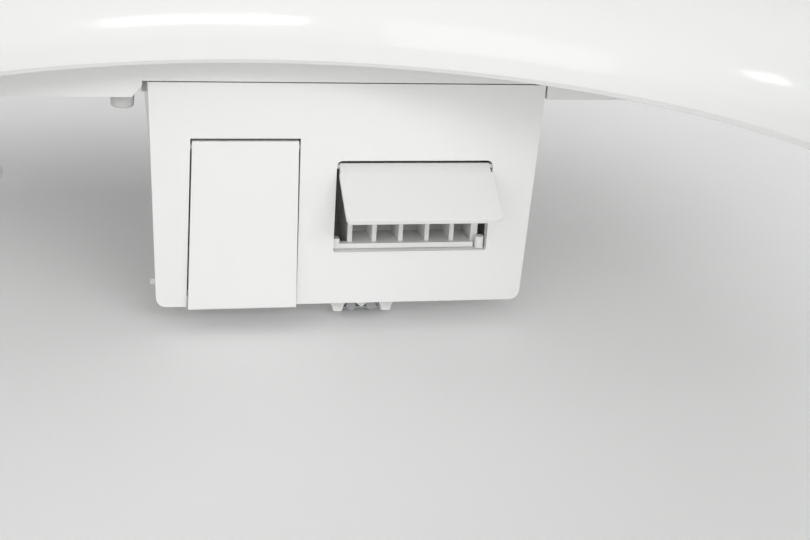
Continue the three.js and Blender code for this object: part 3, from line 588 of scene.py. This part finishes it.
def thread(radius, pitch, low, high, depth):
    """The profile of a thread's grooves as rings, from low to high."""
    points = []
    turns = int((high - low) / pitch)
    for k in range(turns):
        start = low + k * pitch
        points += [(radius, start), (radius, start + pitch * 0.25)]
        points += [(radius - depth, start + pitch * 0.6), (radius - depth, start + pitch * 0.75)]
    return points + [(radius, low + turns * pitch), (radius, high)]


def fixing_bolt(node):
    """A hexagon-headed bolt with a slotted head and a threaded shank."""
    x, y, (low, high) = span_of(node)
    at = (middle(x), middle(y))
    across, shank, head_low = BOLT["across"], BOLT["shank"], high - BOLT["head"]
    chamfers = [(across - 0.7, head_low), (across + 0.1, head_low + 0.6)]
    chamfers += [(across + 0.1, high - 0.8), (across - 0.8, high)]
    head = overlap(rod("z", across, (head_low, high), at, 6), lathe("z", at, chamfers))
    grooves = thread(shank, BOLT["pitch"], low + 1, high - BOLT["plain"], BOLT["groove"])
    profile = [(shank - 0.9, low), (shank, low + 0.9), *grooves, (shank, head_low + 0.3)]
    cut(join(head, lathe("z", at, profile)), block(x, (-0.8, 0.8), (high - 1.4, high + 2)))
    finish_piece(head, [node], bevel=0.12, segments=2, limit=50)


def fixing_nut(node):
    """A white plastic wing nut with rounded wings."""
    x, y, (low, high) = span_of(node)
    at = (middle(x), middle(y))
    hub = lathe("z", at, [(7, low), (7.8, low + 0.6), (8, high - 0.8), (7.6, high)])
    wings = [(*corner, NUT["radius"]) for corner in
             rectangle((-NUT["wing"], NUT["wing"]), (low + 0.1, low + NUT["high"]))]
    wing = prism("y", rounded(wings, 8), (-NUT["half_thick"], NUT["half_thick"]))
    turn = Matrix.Rotation(NUT["turn"], 4, "Z")
    wing.data.transform(Matrix.Translation((at[0] * MM, at[1] * MM, 0)) @ turn)
    cut(join(hub, wing), rod("z", NUT["bore"], widened((low, high), 5), at))
    finish_piece(hub, [node], slot="satin_white", bevel=0.5, segments=3, limit=40)


def fixing_cone(node):
    """A rubber bush with shallow rings round it."""
    x, y, (low, high) = span_of(node)
    narrow, wide, rings = CONE["narrow"], CONE["wide"], CONE["rings"]
    profile = []
    for k in range(rings + 1):
        share = k / rings
        groove = CONE["groove"] if k % 4 == 2 else 0
        profile.append((narrow + (wide - narrow) * share - groove, low + (high - low) * share))
    profile += [(CONE["bore"], high), (CONE["bore"], low)]
    finish_piece(lathe("z", (middle(x), middle(y)), profile, closed=True), [node], bevel=0.15)


def washer(node):
    """A flat ring with its outer edges broken."""
    x, y, (low, high) = span_of(node)
    radius, edge, bore = half_of(x), 0.3, 4.3
    profile = [(bore, low), (radius - edge, low), (radius, low + edge)]
    profile += [(radius, high - edge), (radius - edge, high), (bore, high)]
    finish_piece(lathe("z", (middle(x), middle(y)), profile, closed=True), [node], bevel=0)


def cord_gland():
    """A flanged rubber sleeve with grooves that let it bend."""
    x, (front, end), z = span_of("cord_gland")
    profile = [(GLAND["flange"], front), (GLAND["flange"], front + GLAND["flange_thick"])]
    for k in range(GLAND["ribs"]):
        start, radius = front + 4 + k * GLAND["pitch"], 5.3 - 0.15 * k
        profile += [(radius, start), (radius, start + 1.3)]
        profile += [(radius - 0.9, start + 1.5), (radius - 0.9, start + 2.2)]
    profile += [(4.2, end - 0.4), (3.9, end), (GLAND["bore"], end), (GLAND["bore"], front)]
    sleeve = lathe("y", (middle(x), middle(z)), profile, closed=True)
    finish_piece(sleeve, ["cord_gland"], bevel=0.1)


def water_inlet():
    """A threaded brass nipple with a hexagon."""
    x, y, (low, high) = span_of("water_inlet")
    at, radius = (middle(x), middle(y)), INLET["radius"]
    grooves = thread(radius, INLET["pitch"], low + 0.8, high - 6, INLET["groove"])
    pipe = lathe("z", at, [(radius - 1.2, low), *grooves, (radius, high - 2)])
    join(pipe, rod("z", INLET["hexagon"], (high - INLET["hexagon_high"], high), at, 6))
    cut(pipe, rod("z", INLET["bore"], widened((low, high), 3), at))
    finish_piece(pipe, ["water_inlet"], bevel=0.2, segments=2, limit=40)


def hinge_pin(node):
    """A steel pin with chamfered ends."""
    (left, right), y, z = span_of(node)
    radius, chamfer = 4, 0.4
    profile = [(CORE, left), (radius - chamfer, left), (radius, left + chamfer)]
    profile += [(radius, right - chamfer), (radius - chamfer, right), (CORE, right)]
    finish_piece(lathe("x", (middle(y), middle(z)), profile), [node], bevel=0)


seat_ring()
lid()
upper_case()
cord_gland()
water_inlet()
release_button()
for key in ("power", "wash", "dry", "stop"):
    push_key("key_" + key)
for node in sorted(frame["nodes"]):
    if node.startswith(("case_foot", "seat_bumper")):
        foot(node)
for side in ("left", "right"):
    fixing_bolt("fixing_bolt_" + side)
    fixing_nut("fixing_nut_" + side)
    fixing_cone("fixing_cone_" + side)
    washer("fixing_washer_" + side)
    hinge_pin("hinge_pin_" + side)
FINE_EDGES = ("front_panel", "nozzle_door", "dryer_flap", "dryer_grille", "drain_spout", "drain_strainer")
for node in sorted(set(frame["nodes"]) - DONE):
    refine(node, 0.15 if node in FINE_EDGES else 0.35)


# ---------- the stage ----------
FLOOR_DROP = 1.5  # how far the floor is under the lowest part
SKY = {"From Min": 0.0, "From Max": 0.9, "To Min": 1.18, "To Max": 0.66}  # strength by direction's z
EYE = Vector((-70.755, -370.455, 93.227))  # from the middle of the panel's top edge
GAZE = {"yaw": 13.316, "pitch": 20.832, "roll": 3.724}
SENSOR = 36
FOCAL_IN_PIXELS = 1500
FRAME_WIDTH = 810


def floor():
    """A plain pale floor just under the lowest part."""
    low = min(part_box(node)[0].z for node in frame["nodes"])
    bm = bmesh.new()
    bmesh.ops.create_grid(bm, x_segments=1, y_segments=1, size=25)
    plane = new_object("floor", bm)
    plane.location.z = low - FLOOR_DROP * MM
    shader = Shader("floor", (0.89, 0.89, 0.89), 0.6)
    shader.vary_color(shader.noise(3, 4), 0.02)
    shader.vary_roughness(shader.noise(40, 4), 0.05)
    plane.data.materials.append(shader.material)


def sky():
    """A white sky, brighter towards the horizon."""
    world = bpy.data.worlds.new("studio")
    world.use_nodes = True
    links, nodes = world.node_tree.links, world.node_tree.nodes
    nodes["Background"].inputs["Color"].default_value = (1, 1, 1, 1)
    height = nodes.new("ShaderNodeSeparateXYZ")
    links.new(nodes.new("ShaderNodeTexCoord").outputs["Generated"], height.inputs["Vector"])
    strength = nodes.new("ShaderNodeMapRange")
    for name, value in SKY.items():
        strength.inputs[name].default_value = value
    links.new(height.outputs["Z"], strength.inputs["Value"])
    links.new(strength.outputs["Result"], nodes["Background"].inputs["Strength"])
    bpy.context.scene.world = world


def area_light(name, target, offset, size, power):
    """A rectangular light at an offset from what it is aimed at."""
    light = bpy.data.lights.new(name, "AREA")
    light.shape = "RECTANGLE"
    light.size, light.size_y = size
    light.energy = power
    lamp = bpy.data.objects.new(name, light)
    lamp.location = target + Vector(offset)
    lamp.rotation_euler = (target - lamp.location).to_track_quat("-Z", "Y").to_euler()
    bpy.context.scene.collection.objects.link(lamp)


def studio():
    """A bright, nearly shadowless room: a pale sky, a key from the front left and two soft boxes."""
    sky()
    low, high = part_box("front_panel")
    seat_rear = Vector((low.x, low.y, 0.02))
    seat_right = Vector((high.x + 0.025, low.y - 0.07, 0.028))
    area_light("key", Vector(low), (-1.8, -2.2, 0.9), (2.4, 2.4), 16)
    area_light("front_bar", seat_rear, (0.34, -1.04, 0.53), (0.66, 0.2), 3.2)
    area_light("left_box", seat_right, (-1.02, 0.26, 0.56), (0.17, 0.18), 0.5)
    bpy.context.scene.view_settings.view_transform = "Standard"


def camera():
    """The eye is over the front of the seat, looking back and down through its opening."""
    yaw, pitch, roll = (math.radians(GAZE[name]) for name in ("yaw", "pitch", "roll"))
    low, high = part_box("front_panel")
    eye = Vector(((low.x + high.x) / 2, low.y, high.z)) + EYE * MM
    forward = Vector((math.sin(yaw) * math.cos(pitch), math.cos(yaw) * math.cos(pitch), -math.sin(pitch)))
    level = Vector((math.cos(yaw), -math.sin(yaw), 0))
    right = level * math.cos(roll) + level.cross(forward) * math.sin(roll)
    up = right.cross(forward)
    data = bpy.data.cameras.new("camera")
    data.sensor_width = SENSOR
    data.lens = SENSOR * FOCAL_IN_PIXELS / FRAME_WIDTH
    data.clip_start = 0.01
    eye_object = bpy.data.objects.new("camera", data)
    turn = Matrix((right, up, -forward)).transposed().to_4x4()
    eye_object.matrix_world = Matrix.Translation(eye) @ turn
    bpy.context.scene.collection.objects.link(eye_object)
    bpy.context.scene.camera = eye_object


floor()
studio()
camera()
